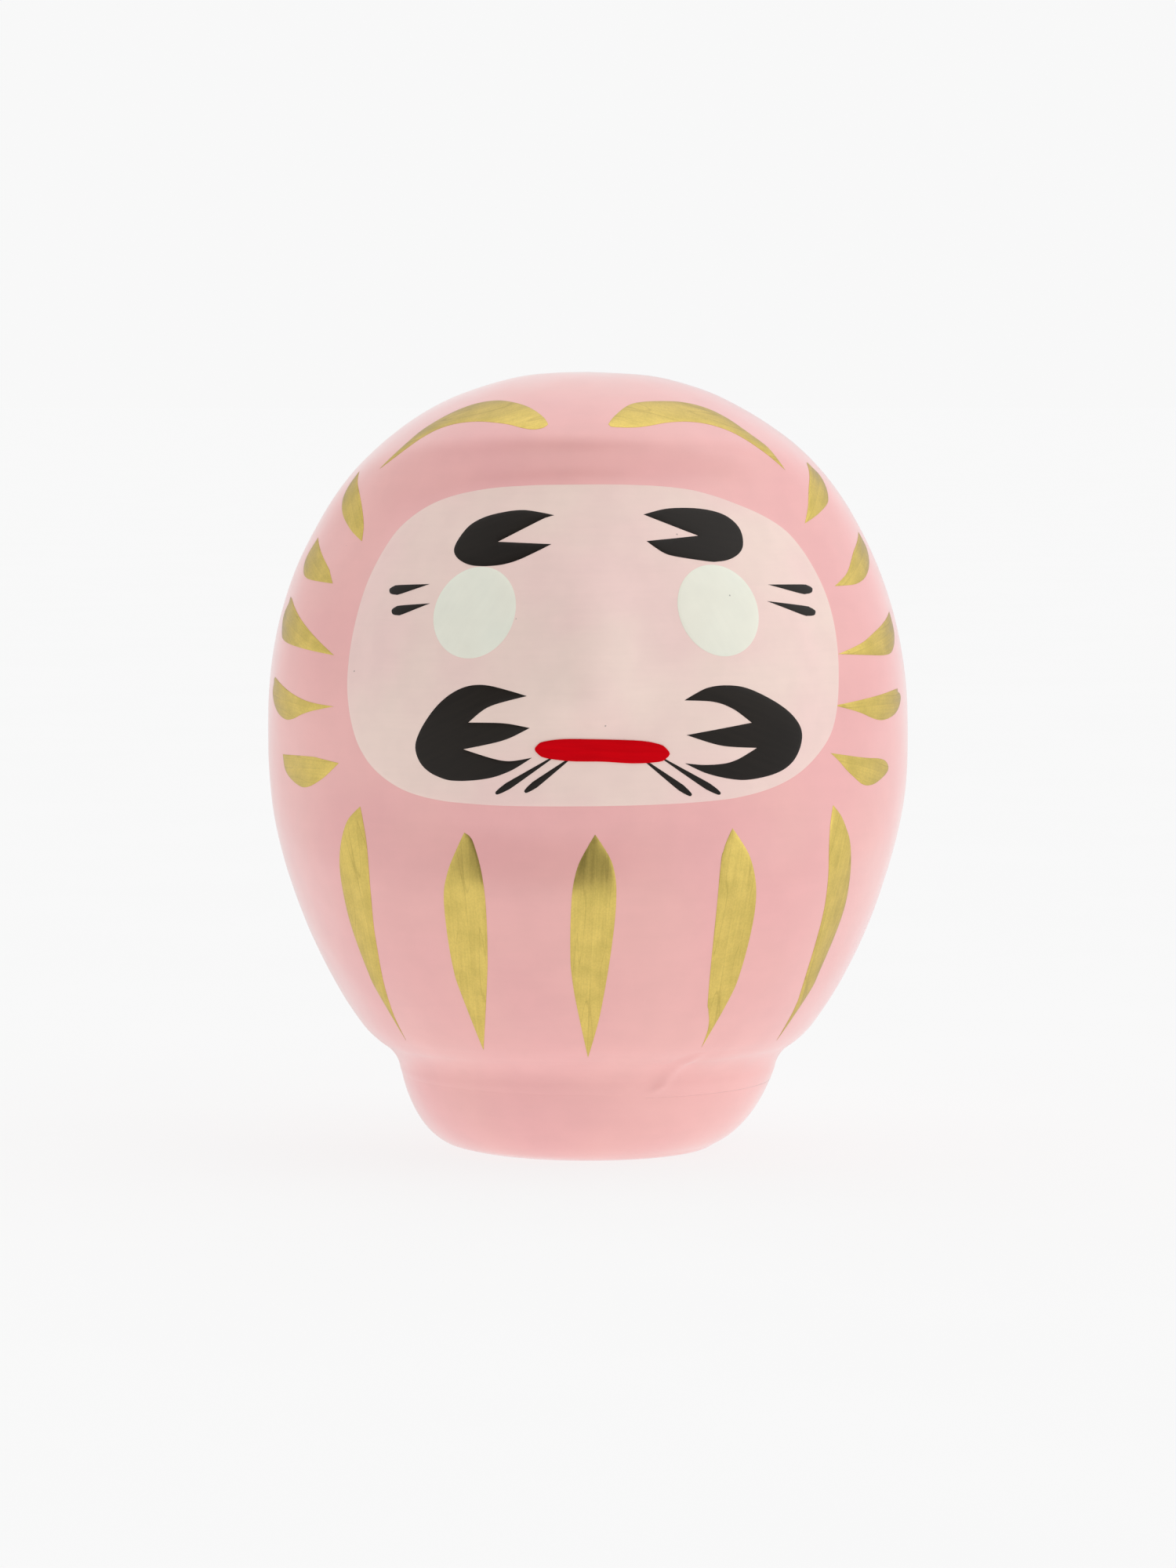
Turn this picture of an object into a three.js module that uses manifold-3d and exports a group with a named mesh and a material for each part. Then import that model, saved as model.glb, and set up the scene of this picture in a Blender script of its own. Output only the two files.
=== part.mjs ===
// A daruma: a hollow papier-mache roly-poly doll with a clay-weighted foot, painted by hand.
// Millimetres, +Z up. The doll stands on the origin and its face looks towards -Y, so that
// left and right here are the onlooker's: -X and +X.

import * as THREE from "three";
import { mergeVertices } from "three/addons/utils/BufferGeometryUtils.js";
import Module from "manifold-3d";

const wasm = await Module();
wasm.setup();

// Driving dimensions
const HEIGHT = 115;
const GIRTH_RADIUS = 47.4;
const GIRTH_HEIGHT = 62;
const WALL = 2;
const CREASE_RADIUS = 28.2; // where the body meets the foot
const CREASE_HEIGHT = 14.6;
const BODY_MOUTH_RADIUS = 17; // the opening in the body's floor
const FIT_GAP = 0.3; // between neighbouring pieces
const FOOT_REST_RADIUS = 13.8; // the flat that the doll stands on
const STICK_HOLE_RADIUS = 3; // takes the stick that holds the doll while it is dipped and painted
const SEAL_RADIUS = 11;
const SEAL_THICKNESS = 0.3;
const PAINT_GAP = 0.12;
const PAINT_THICKNESS = 0.2;

// The body's outline from the crease to the crown, as [radius, height]
const BODY_OUTLINE = [
  [CREASE_RADIUS, CREASE_HEIGHT],
  [32.8, 18],
  [38.7, 27],
  [43.3, 38],
  [46.4, 50],
  [GIRTH_RADIUS, GIRTH_HEIGHT],
  [46.4, 74],
  [43, 86],
  [37.1, 97],
  [29.8, 105],
  [20.2, 111],
  [10, 114.2],
  [0, HEIGHT],
];
const BODY_SEGMENTS = 68;
const BODY_ROWS = 27;
const CAVITY_SEGMENTS = 32;
const CAVITY_ROWS = 12;
const ROUND_SEGMENTS = 44;

// The modelled face: a shallow window under a rounded hood, with a nose ridge down its middle.
// Reach is measured from the window's middle, and is 1 on a superellipse of its half sizes.
const FACE = {
  halfWidth: 37.5,
  halfHeight: 24.5,
  height: 77, // of the window's middle
  corner: 3, // superellipse exponent
  outerReach: 1.2, // where the window's wall starts to fall
  wallReach: 0.28, // how much reach the wall takes
  depthLow: 1.6,
  depthHigh: 4.2,
};
// Below the chin the wall starts further out, is wider, and falls deeper by these amounts
const CHIN = { outerReach: 0.33, wallReach: 0.2, depth: 1.6 };
const HOOD = {
  reach: 1.2, // of its crest
  underside: 0.2, // how far it spreads below the crest
  forehead: 0.42, // and above it
  turning: 0.2, // how much reach one takes to pass into the other
  rise: 1.2,
  fadeLow: 80,
  fadeHigh: 102,
};
const NOSE = { top: 96, tip: 72, base: 63, lipHeight: 7, halfWidth: 7, rise: 3 };
const WINDOW_FADE = 0.4; // how far the window and the hood die out towards the sides
const HOOD_FADE = 0.9;
const CROWN_FADE_RADIUS = 18; // the hood dies out towards the crown

const COLOURS = {
  shell: 0xeeb9b8,
  foot: 0xecb4b2,
  strip: 0xf0bebd,
  clay: 0xa9805f,
  glue: 0xc79a4b,
  seal: 0xefe6d8,
  face: 0xe4cdc8,
  eye: 0xdfe2da,
  ink: 0x2a2722,
  lips: 0xc0060f,
  gold: 0xc9b35f,
};

function material(colour, metalness = 0) {
  return new THREE.MeshStandardMaterial({ color: colour, roughness: 0.55, metalness });
}

const goldMaterial = () => material(COLOURS.gold, 0.8);

function smoothStep(t) {
  return THREE.MathUtils.smoothstep(t, 0, 1);
}

// How far the modelled front stands out of the plain round body at a place on its surface
function frontRelief(x, y, z) {
  const across = Math.abs(x) / FACE.halfWidth;
  const up = Math.abs(z - FACE.height) / FACE.halfHeight;
  const reach = (across ** FACE.corner + up ** FACE.corner) ** (1 / FACE.corner);
  const rising = smoothStep((z - FACE.height + FACE.halfHeight) / (2 * FACE.halfHeight));
  const chin = (1 - rising) ** 5;
  const outer = FACE.outerReach + CHIN.outerReach * chin;
  const wall = FACE.wallReach + CHIN.wallReach * chin;
  const depth = THREE.MathUtils.lerp(FACE.depthLow, FACE.depthHigh, rising) + CHIN.depth * chin;
  const window = depth * smoothStep((outer - reach) / wall);

  const above = smoothStep(0.5 + (reach - HOOD.reach) / HOOD.turning);
  const spread = THREE.MathUtils.lerp(HOOD.underside, HOOD.forehead, above);
  const crest = Math.exp(-(((reach - HOOD.reach) / spread) ** 2));
  const high = smoothStep((z - HOOD.fadeLow) / (HOOD.fadeHigh - HOOD.fadeLow));
  const radius = Math.hypot(x, y);
  const hood = HOOD.rise * crest * high * smoothStep(radius / CROWN_FADE_RADIUS);

  const bridge = smoothStep((NOSE.top - z) / (NOSE.top - NOSE.tip));
  const underside = smoothStep((z - NOSE.base) / NOSE.lipHeight);
  const nose = NOSE.rise * bridge * underside * Math.exp(-((x / NOSE.halfWidth) ** 2));

  const facing = Math.max(-y, 0) / Math.max(radius, Number.EPSILON);
  return (nose - window) * smoothStep(facing / WINDOW_FADE) + hood * smoothStep(facing / HOOD_FADE);
}

// ---- solids ----

// Turns a profile of [radius, height] points round Z, with azimuth 0 towards -Y
function turned(profile, segments = ROUND_SEGMENTS) {
  const points = profile.map(([radius, height]) => new THREE.Vector2(radius, height));
  return new THREE.LatheGeometry(points, segments).rotateX(Math.PI / 2);
}

// Shares the vertices of a closed geometry and drops the flat triangles at a lathe's poles
function welded(geometry) {
  const bare = geometry.clone();
  bare.deleteAttribute("normal");
  bare.deleteAttribute("uv");
  const merged = mergeVertices(bare, 1e-4);
  const corners = merged.index.array;
  const kept = [];
  for (let i = 0; i < corners.length; i += 3) {
    const [a, b, c] = corners.subarray(i, i + 3);
    if (a !== b && b !== c && c !== a) {
      kept.push(a, b, c);
    }
  }
  merged.setIndex(kept);
  return merged;
}

function solid(geometry) {
  const shared = welded(geometry);
  return new wasm.Manifold(new wasm.Mesh({
    numProp: 3,
    vertProperties: new Float32Array(shared.getAttribute("position").array),
    triVerts: new Uint32Array(shared.index.array),
  }));
}

function meshOf(name, body, finish) {
  const { vertProperties, triVerts, numProp } = body.getMesh();
  const positions = new THREE.BufferAttribute(new Float32Array(vertProperties), numProp);
  const geometry = new THREE.BufferGeometry();
  geometry.setAttribute("position", positions);
  geometry.setIndex(new THREE.BufferAttribute(new Uint32Array(triVerts), 1));
  geometry.computeVertexNormals();
  const mesh = new THREE.Mesh(geometry, finish);
  mesh.name = name;
  return mesh;
}

function cylinder(radius, low, high) {
  const length = high - low;
  return new THREE.CylinderGeometry(radius, radius, length, ROUND_SEGMENTS / 2)
    .rotateX(Math.PI / 2)
    .translate(0, 0, low + length / 2);
}

// ---- body ----

// The body's modelled surface as a closed solid, grown outwards by an offset
function bodySolid(offset, segments = BODY_SEGMENTS, rows = BODY_ROWS) {
  const outline = new THREE.SplineCurve(BODY_OUTLINE.map(([r, z]) => new THREE.Vector2(r, z)));
  const rim = outline.getSpacedPoints(rows).map((point) => point.toArray());
  rim[rows][0] = 0;
  const skin = welded(turned([[0, CREASE_HEIGHT], ...rim], segments));
  const position = skin.getAttribute("position");
  const place = new THREE.Vector3();
  for (let i = 0; i < position.count; i += 1) {
    place.fromBufferAttribute(position, i);
    const radius = Math.hypot(place.x, place.y);
    if (radius > 0) {
      const scale = 1 + frontRelief(place.x, place.y, place.z) / radius;
      position.setXY(i, place.x * scale, place.y * scale);
    }
  }
  skin.computeVertexNormals();
  const normal = skin.getAttribute("normal");
  for (let i = 0; i < position.count; i += 1) {
    place.fromBufferAttribute(normal, i).multiplyScalar(offset);
    position.setXYZ(
      i,
      position.getX(i) + place.x,
      position.getY(i) + place.y,
      position.getZ(i) + place.z,
    );
  }
  return solid(skin);
}

function bodyShell() {
  const cavity = bodySolid(-WALL, CAVITY_SEGMENTS, CAVITY_ROWS);
  const mouth = solid(cylinder(BODY_MOUTH_RADIUS, CREASE_HEIGHT - WALL, CREASE_HEIGHT + 2 * WALL));
  const shell = bodySolid(0).subtract(cavity).subtract(mouth);
  return meshOf("body_shell", shell, material(COLOURS.shell));
}

// ---- foot ----

const FOOT_RIM_HEIGHT = CREASE_HEIGHT - FIT_GAP;
const FOOT_RIM_RADIUS = CREASE_RADIUS - 0.2;
const FOOT_ROWS = 6;

// The foot's bowl: it rounds out quickly from the rest and then rises almost straight
function footRadius(height) {
  const fall = 1 - height / FOOT_RIM_HEIGHT;
  return FOOT_REST_RADIUS + (FOOT_RIM_RADIUS - FOOT_REST_RADIUS) * (1 - fall ** 1.5) ** 0.37;
}

// Bowl profile from the rest up to a height, drawn in from the outside by an inset
function bowlProfile(inset, top) {
  const profile = [];
  for (let row = 0; row <= FOOT_ROWS; row += 1) {
    const height = FOOT_RIM_HEIGHT * (row / FOOT_ROWS) ** 1.8;
    profile.push([footRadius(height) - inset, height + inset * (1 - row / FOOT_ROWS)]);
  }
  return profile.filter(([, height]) => height < top).concat([[footRadius(top) - inset, top]]);
}

function footCup() {
  const outside = turned([[0, 0], ...bowlProfile(0, FOOT_RIM_HEIGHT), [0, FOOT_RIM_HEIGHT]]);
  const above = FOOT_RIM_HEIGHT + WALL;
  const inside = turned([
    [0, WALL],
    ...bowlProfile(WALL, FOOT_RIM_HEIGHT),
    [FOOT_RIM_RADIUS - WALL, above],
    [0, above],
  ]);
  const stickHole = cylinder(STICK_HOLE_RADIUS, -WALL, 2 * WALL);
  const sealRecess = cylinder(SEAL_RADIUS + FIT_GAP, -WALL, SEAL_THICKNESS + FIT_GAP);
  const cup = solid(outside)
    .subtract(solid(inside))
    .subtract(solid(stickHole))
    .subtract(solid(sealRecess));
  return meshOf("foot_cup", cup, material(COLOURS.foot));
}

const CLAY_TOP = 10.6;

function clayWeight() {
  const inset = WALL + FIT_GAP;
  const plug = solid(turned([[0, inset], ...bowlProfile(inset, CLAY_TOP), [0, CLAY_TOP]]));
  const stickHole = solid(cylinder(STICK_HOLE_RADIUS, 0, CLAY_TOP + WALL));
  return meshOf("clay_weight", plug.subtract(stickHole), material(COLOURS.clay));
}

// A bead of glue in the corner between the foot's wall and the body's floor
function glueRing() {
  const bead = 3;
  const top = CREASE_HEIGHT - FIT_GAP;
  const outer = footRadius(top - bead) - WALL - FIT_GAP;
  const corner = [outer, top];
  const profile = [corner, [outer - bead, top]];
  for (let step = 1; step < 4; step += 1) {
    const turn = (step / 4) * (Math.PI / 2);
    profile.push([outer - bead * (1 - Math.sin(turn)), top - bead * (1 - Math.cos(turn))]);
  }
  profile.push([outer, top - bead], corner);
  return meshOf("glue_ring", solid(turned(profile)), material(COLOURS.glue));
}

// A band of paper pasted round the crease, over the joint
function jointStrip() {
  const middle = new THREE.SplineCurve([
    new THREE.Vector2(33.4, 17.4),
    new THREE.Vector2(31, 15.3),
    new THREE.Vector2(29.2, 13.9),
    new THREE.Vector2(28.3, 12.3),
    new THREE.Vector2(27.8, 10.4),
  ]);
  const steps = 4;
  const halfThickness = 0.17;
  const faces = [halfThickness, -halfThickness].map((lift) => {
    const face = [];
    for (let step = 0; step <= steps; step += 1) {
      const along = middle.getTangent(step / steps);
      const point = middle.getPoint(step / steps);
      face.push([point.x - along.y * lift, point.y + along.x * lift]);
    }
    return face;
  });
  const profile = [...faces[1], ...faces[0].reverse(), faces[1][0]];
  return meshOf("joint_strip", solid(turned(profile)), material(COLOURS.strip));
}

function baseSeal() {
  return meshOf("base_seal", solid(cylinder(SEAL_RADIUS, 0, SEAL_THICKNESS)), material(COLOURS.seal));
}

// ---- paint ----

// Each coat is a thin film on the modelled body, cut out of the layer between two offsets of its
// surface by a prism of the mark's outline. Later coats lie over earlier ones.
const layers = [0, 1, 2].map((coat) => {
  const low = PAINT_GAP + coat * (PAINT_GAP + PAINT_THICKNESS);
  return bodySolid(low + PAINT_THICKNESS).subtract(bodySolid(low));
});
const FIRST_COAT = 0;
const SECOND_COAT = 1;
const THIRD_COAT = 2;
const OUTLINE_STEPS = 2; // chords for each outline point
const OVAL_STEPS = 28;

// An outline is drawn in a plane that stands before the doll, as [across, height] points.
// azimuth turns that plane from the front (0) towards the onlooker's right.
function film(name, outline, coat, finish, azimuth = 0) {
  const prism = new THREE.ExtrudeGeometry(outline, {
    depth: HEIGHT,
    bevelEnabled: false,
    curveSegments: OUTLINE_STEPS,
  });
  prism.rotateX(Math.PI / 2).rotateZ(THREE.MathUtils.degToRad(azimuth));
  return meshOf(name, layers[coat].intersect(solid(prism)), finish);
}

const toPlane = ([across, height]) => new THREE.Vector2(across, height);

// A shape whose edges are smooth curves that meet in sharp corners
function cornered(...edges) {
  const shape = new THREE.Shape();
  shape.moveTo(...edges[0][0]);
  for (const edge of edges) {
    shape.splineThru(edge.slice(1).map(toPlane));
  }
  return shape;
}

// A shape with no corner
function rounded(points) {
  const loop = new THREE.CatmullRomCurve3(points.map(([x, z]) => new THREE.Vector3(x, z, 0)), true);
  return new THREE.Shape(loop.getPoints(points.length * OUTLINE_STEPS));
}

// A leaf between two tips
function leaf(tip, oneSide, otherTip, otherSide) {
  return cornered([tip, ...oneSide, otherTip], [otherTip, ...otherSide, tip]);
}

// A stroke that starts at a point and swells to a round end
function drop(tip, end, width) {
  const start = toPlane(tip);
  const along = toPlane(end).sub(start);
  const aside = new THREE.Vector2(-along.y, along.x).setLength(width / 2);
  const at = (share, side) => start.clone().addScaledVector(along, share).addScaledVector(aside, side);
  const shape = new THREE.Shape();
  shape.moveTo(start.x, start.y);
  shape.splineThru([
    at(0.45, 0.6), at(0.8, 1), at(0.97, 0.6), at(1, 0), at(0.97, -0.6), at(0.8, -1), at(0.45, -0.6),
    start,
  ]);
  return shape;
}

function oval(across, height, halfWidth, halfHeight, leanDegrees) {
  const lean = THREE.MathUtils.degToRad(leanDegrees);
  const ring = new THREE.EllipseCurve(across, height, halfWidth, halfHeight, 0, 2 * Math.PI, false, lean);
  return new THREE.Shape(ring.getPoints(OVAL_STEPS));
}

function faceCoat() {
  const outline = rounded([
    [0, 99], [-10, 98.8], [-16.5, 98], [-22.5, 96], [-28, 91.5], [-32.5, 82.5], [-34.5, 71],
    [-33.3, 63], [-30.5, 58.5], [-25.5, 55.5], [-17.5, 54.2], [0, 54.1], [18.5, 54.6], [26, 56],
    [31, 58.6], [34.9, 63.5], [36, 71], [35.4, 79], [33, 86], [28.5, 92.2], [21, 96.3], [13.3, 98.5],
  ]);
  return film("face_coat", outline, FIRST_COAT, material(COLOURS.face));
}

function eyes() {
  const white = material(COLOURS.eye);
  return [
    film("eye_left", oval(-16, 81.1, 5.5, 6.7, -31), SECOND_COAT, white),
    film("eye_right", oval(18.4, 81.3, 5.4, 6.7, 31), SECOND_COAT, white),
  ];
}

// Each brow is a two-fingered claw that stands for a crane
function brows() {
  const ink = material(COLOURS.ink);
  const left = cornered(
    [
      [-4.8, 94.7], [-9.9, 95.4], [-16, 93.8], [-19, 90], [-17.6, 88], [-14.4, 87.6], [-10.4, 88.3],
      [-5.2, 90.7],
    ],
    [[-5.2, 90.7], [-12.8, 91]],
    [[-12.8, 91], [-6.8, 94], [-4.8, 94.7]],
  );
  const right = cornered(
    [
      [7.9, 94.8], [11.2, 95.6], [15.6, 95.6], [19.3, 94.7], [21.6, 92.7], [22, 90], [20.4, 88.5],
      [17.9, 88.1], [15.1, 88.5], [11.1, 89.3], [8.3, 91.1],
    ],
    [[8.3, 91.1], [15.7, 91.8]],
    [[15.7, 91.8], [7.9, 94.8]],
  );
  return [
    film("brow_left", left, SECOND_COAT, ink),
    film("brow_right", right, SECOND_COAT, ink),
  ];
}

// Each beard is a three-fingered claw that stands for a tortoise
function beards() {
  const ink = material(COLOURS.ink);
  const left = cornered(
    [
      [-8.6, 69.6], [-14.4, 71], [-18.3, 70.3], [-21.8, 67.4], [-24.4, 62.7], [-23.5, 59.4],
      [-20.7, 57.7], [-17.9, 57.4], [-13.9, 57.9], [-10.7, 59.1], [-7.9, 60.9],
    ],
    [[-7.9, 60.9], [-11.9, 60.4], [-17.6, 61.9]],
    [[-17.6, 61.9], [-11.9, 63.3], [-8.2, 65.1]],
    [[-8.2, 65.1], [-11.9, 65.7], [-16.9, 65.7]],
    [[-16.9, 65.7], [-13.9, 68], [-8.6, 69.6]],
  );
  const right = cornered(
    [
      [13.6, 68.9], [16.9, 70.6], [20.5, 70.8], [23.6, 69.9], [27.7, 67.5], [30, 65], [30.4, 62.6],
      [29.3, 59.9], [26.9, 58.2], [22.8, 57.4], [19.7, 57.7], [16.5, 58.6], [13.7, 60],
    ],
    [[13.7, 60], [16.9, 59.7], [20.5, 60.1], [23.9, 61.9]],
    [[23.9, 61.9], [18.8, 62.4], [13.9, 64]],
    [[13.9, 64], [18.8, 64.8], [23.1, 65.5]],
    [[23.1, 65.5], [20.5, 67.5], [17.7, 68.6], [13.6, 68.9]],
  );
  return [
    film("beard_left", left, SECOND_COAT, ink),
    film("beard_right", right, SECOND_COAT, ink),
  ];
}

function templeMarks() {
  const ink = material(COLOURS.ink);
  const width = 1.3;
  const strokes = {
    temple_mark_left_upper: [[-22.5, 84.9], [-28.3, 83.7]],
    temple_mark_left_lower: [[-22.4, 82.2], [-27.9, 80.8]],
    temple_mark_right_upper: [[25.6, 84.7], [32.2, 83.7]],
    temple_mark_right_lower: [[25.4, 82.4], [32.6, 80.5]],
  };
  return Object.entries(strokes).map(([name, [tip, end]]) =>
    film(name, drop(tip, end, width), SECOND_COAT, ink));
}

function whiskers() {
  const ink = material(COLOURS.ink);
  const width = 0.95;
  const strokes = {
    whisker_left_outer: [[-3.4, 62], [-13, 55.7]],
    whisker_left_inner: [[-1, 62], [-8.9, 56]],
    whisker_right_inner: [[6.3, 61.8], [14.6, 55.4]],
    whisker_right_outer: [[8.9, 61.8], [18.7, 55.5]],
  };
  return Object.entries(strokes).map(([name, [tip, end]]) =>
    film(name, drop(tip, end, width), SECOND_COAT, ink));
}

function mouth() {
  const bar = rounded([
    [-7.5, 62.1], [-6.2, 63.2], [2, 63.5], [10, 62.8], [11.5, 61.4], [10, 60.3], [2, 60.4], [-6, 60.9],
  ]);
  return film("mouth", bar, THIRD_COAT, material(COLOURS.lips));
}

function goldBrows() {
  const left = cornered([
    [-30.2, 101], [-27.7, 103.5], [-23.5, 107], [-18, 109.8], [-13.4, 110.8], [-9.8, 110.3],
    [-7.2, 109.1], [-5.7, 107.4], [-8.1, 106.7], [-12, 107.5], [-16.9, 107.8], [-21.2, 106.9],
    [-25.1, 104.8], [-30.2, 101],
  ]);
  const right = cornered([
    [28.6, 100.9], [26.4, 103.9], [23.5, 106.2], [19.6, 108.7], [15.7, 110.2], [11.8, 110.8],
    [6.9, 110.6], [4.6, 109.4], [2.9, 107.5], [4.3, 107.1], [7.7, 107.2], [11.7, 107.9],
    [15.6, 107.9], [19.5, 107], [22.7, 105.5], [26, 103.2], [28.6, 100.9],
  ]);
  return [
    film("gold_brow_left", left, FIRST_COAT, goldMaterial()),
    film("gold_brow_right", right, FIRST_COAT, goldMaterial()),
  ];
}

// Teardrops down both sides of the hood, drawn in planes turned to face them
function goldDrops() {
  const sideAzimuth = 68;
  const left = [
    leaf([-4.6, 100.5], [[-5.1, 97.4], [-2.6, 94.7], [1.7, 92.3]], [5.6, 90.6], [[4.1, 93.4], [0.7, 97]]),
    leaf([-7, 90.8], [[-8, 88.1], [-6.9, 86.3], [-3.7, 85]], [3.8, 84.5], [[0.6, 86.9]]),
    leaf([-7.1, 82], [[-9, 79.6], [-7.4, 77.3], [-4, 75.8]], [9.4, 74.4], [[2.5, 77.8]]),
    leaf([-6.9, 70.5], [[-8, 68.2], [-5.3, 65.7], [-0.8, 64.6], [4.9, 66]], [10.7, 67.1], [[3.8, 67.8]]),
    leaf([-3.9, 59.4], [[-3, 56.8], [2.5, 55], [7.4, 56.3]], [11.6, 59], [[5, 59.6]]),
  ];
  const right = [
    leaf([2.6, 101.8], [[4.9, 99.7], [2.9, 96.6], [-0.5, 95]], [-5.7, 93.2], [[-3.7, 95.5], [-1.4, 98.6]]),
    leaf([9.2, 91.6], [[9.3, 88.9], [4.2, 85.8], [-0.5, 84.4]], [-5.8, 84.2], [[-1.5, 86.1], [3, 89]]),
    leaf([8, 80], [[7.8, 77], [4.6, 74.6], [0.3, 74]], [-10, 74.6], [[-4.7, 76], [0.5, 77.8]]),
    leaf([3.4, 68.9], [[6.6, 67.7], [3.9, 65.5], [-1.8, 64.7], [-7.5, 66.2]], [-12.1, 67.3], [[-4.4, 68.1]]),
    leaf([-12.9, 60.5], [[-5.9, 59.5], [0.5, 58.8], [2, 57], [-4.3, 55.3]], [-9.5, 58], [[-11, 59.2]]),
  ];
  const sides = [["left", left, -sideAzimuth], ["right", right, sideAzimuth]];
  return sides.flatMap(([side, outlines, azimuth]) =>
    outlines.map((outline, i) =>
      film(`gold_drop_${side}_${i + 1}`, outline, FIRST_COAT, goldMaterial(), azimuth)));
}

// Tall strokes round the belly, each pointed at both ends
function goldStripes() {
  const outlines = [
    leaf([-32.5, 53], [[-34.6, 50.3], [-35.5, 44.5], [-34.3, 36.5], [-31.4, 27.7], [-28.9, 22.7]],
      [-26.4, 18.2], [[-28.3, 22.7], [-29.7, 28.7], [-30.8, 37.5], [-31.4, 47]]),
    leaf([-17.5, 50], [[-19.8, 44.5], [-20.4, 39.5], [-19.1, 29.6], [-16.8, 22.9]],
      [-15, 17.8], [[-14.7, 23.5], [-14.3, 32], [-14.7, 42.3], [-16.2, 48.6]]),
    leaf([1, 50], [[-1.9, 44], [-2.5, 34], [-2, 27.5]],
      [0, 17], [[1.8, 24.3], [3.7, 37], [3.7, 45]]),
    leaf([20.5, 50.5], [[19, 46.5], [17.8, 36], [17.2, 26], [17.3, 21.6]],
      [16.3, 18.2], [[18, 21.5], [21.5, 28.5], [23.8, 39], [23.2, 45.8]]),
    leaf([35.3, 53], [[34.7, 49], [34.1, 39], [31.2, 26.9], [29.8, 22.5]],
      [27.5, 17.8], [[30.4, 22.5], [33, 26.9], [37, 37.4], [37.9, 46], [36.8, 50.7]]),
  ];
  return outlines.map((outline, i) =>
    film(`gold_stripe_${i + 1}`, outline, FIRST_COAT, goldMaterial()));
}

// ---- assembly ----

const daruma = new THREE.Group();
daruma.add(
  bodyShell(),
  footCup(),
  clayWeight(),
  glueRing(),
  jointStrip(),
  baseSeal(),
  faceCoat(),
  ...eyes(),
  ...brows(),
  ...beards(),
  ...templeMarks(),
  ...whiskers(),
  mouth(),
  ...goldBrows(),
  ...goldDrops(),
  ...goldStripes(),
);

export default daruma;
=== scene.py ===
# A hand-painted papier-mache daruma in a light tent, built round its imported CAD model.

import math
from bisect import bisect_right

import bmesh
import bpy
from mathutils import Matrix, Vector, noise
from mathutils.geometry import delaunay_2d_cdt
from mathutils.kdtree import KDTree


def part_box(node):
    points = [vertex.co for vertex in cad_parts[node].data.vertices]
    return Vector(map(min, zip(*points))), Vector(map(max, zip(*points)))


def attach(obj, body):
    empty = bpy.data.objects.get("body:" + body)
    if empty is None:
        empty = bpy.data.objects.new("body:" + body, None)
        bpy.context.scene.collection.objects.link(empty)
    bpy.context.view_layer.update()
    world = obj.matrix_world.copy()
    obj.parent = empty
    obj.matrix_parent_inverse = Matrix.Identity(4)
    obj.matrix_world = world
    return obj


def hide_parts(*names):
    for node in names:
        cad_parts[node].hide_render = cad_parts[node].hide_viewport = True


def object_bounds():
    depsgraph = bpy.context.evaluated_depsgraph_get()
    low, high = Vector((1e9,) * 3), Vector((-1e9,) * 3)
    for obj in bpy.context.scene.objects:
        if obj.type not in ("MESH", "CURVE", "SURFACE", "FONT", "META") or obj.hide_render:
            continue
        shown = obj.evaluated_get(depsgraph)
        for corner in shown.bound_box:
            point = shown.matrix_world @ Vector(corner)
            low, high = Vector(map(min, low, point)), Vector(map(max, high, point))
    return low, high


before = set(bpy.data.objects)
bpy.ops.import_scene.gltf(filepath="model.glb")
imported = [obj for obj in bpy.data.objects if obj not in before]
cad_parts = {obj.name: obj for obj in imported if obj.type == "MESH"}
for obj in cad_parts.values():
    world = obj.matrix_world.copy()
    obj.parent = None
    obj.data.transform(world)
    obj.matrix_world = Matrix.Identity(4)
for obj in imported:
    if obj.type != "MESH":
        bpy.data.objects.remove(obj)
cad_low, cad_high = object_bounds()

HEIGHT = cad_high.z - cad_low.z
MM = HEIGHT / 115  # the doll is designed 115 mm tall
BODY = "root"

# ---- the modelled surface of the body, by the same rules as the CAD part ----

FACE_HALF_WIDTH = 37.5 * MM
FACE_HALF_HEIGHT = 24.5 * MM
FACE_HEIGHT = 77 * MM  # of its middle
FACE_CORNER = 3  # the power of its rounded square: 2 is an ellipse, and more is squarer

WINDOW_OUTER_REACH = 1.2  # a reach of 1 is the face's outline
WINDOW_WALL_REACH = 0.28
WINDOW_DEPTH_LOW = 1.6 * MM
WINDOW_DEPTH_HIGH = 4.2 * MM
WINDOW_FADE = 0.4  # it is full where the surface faces forward by this much, and gone at the side
CHIN_OUTER_REACH = 0.33  # what the chin adds to the window's reach, wall and depth
CHIN_WALL_REACH = 0.2
CHIN_DEPTH = 1.6 * MM
CHIN_FALL = 5  # the power by which the chin dies away upwards

HOOD_REACH = 1.2  # where its crest runs
HOOD_UNDERSIDE = 0.2  # how wide it spreads towards the face, and over the forehead
HOOD_FOREHEAD = 0.42
HOOD_TURNING = 0.2  # over how much reach the one spread turns into the other
HOOD_RISE = 1.2 * MM
HOOD_FADE_LOW = 80 * MM  # it comes in between these heights
HOOD_FADE_HIGH = 102 * MM
HOOD_FADE = 0.9  # it fades to the sides as the window does, but sooner
CROWN_FADE_RADIUS = 18 * MM  # and it fades out towards the crown

NOSE_TOP = 96 * MM  # the bridge rises from here down to the tip
NOSE_TIP = 72 * MM
NOSE_BASE = 63 * MM  # and ends here, with a round underside
NOSE_LIP = 7 * MM
NOSE_HALF_WIDTH = 7 * MM
NOSE_RISE = 3 * MM


def smooth_step(t):
    """Rises smoothly from 0 to 1 as t does."""
    t = min(max(t, 0.0), 1.0)
    return t * t * (3 - 2 * t)


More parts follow.
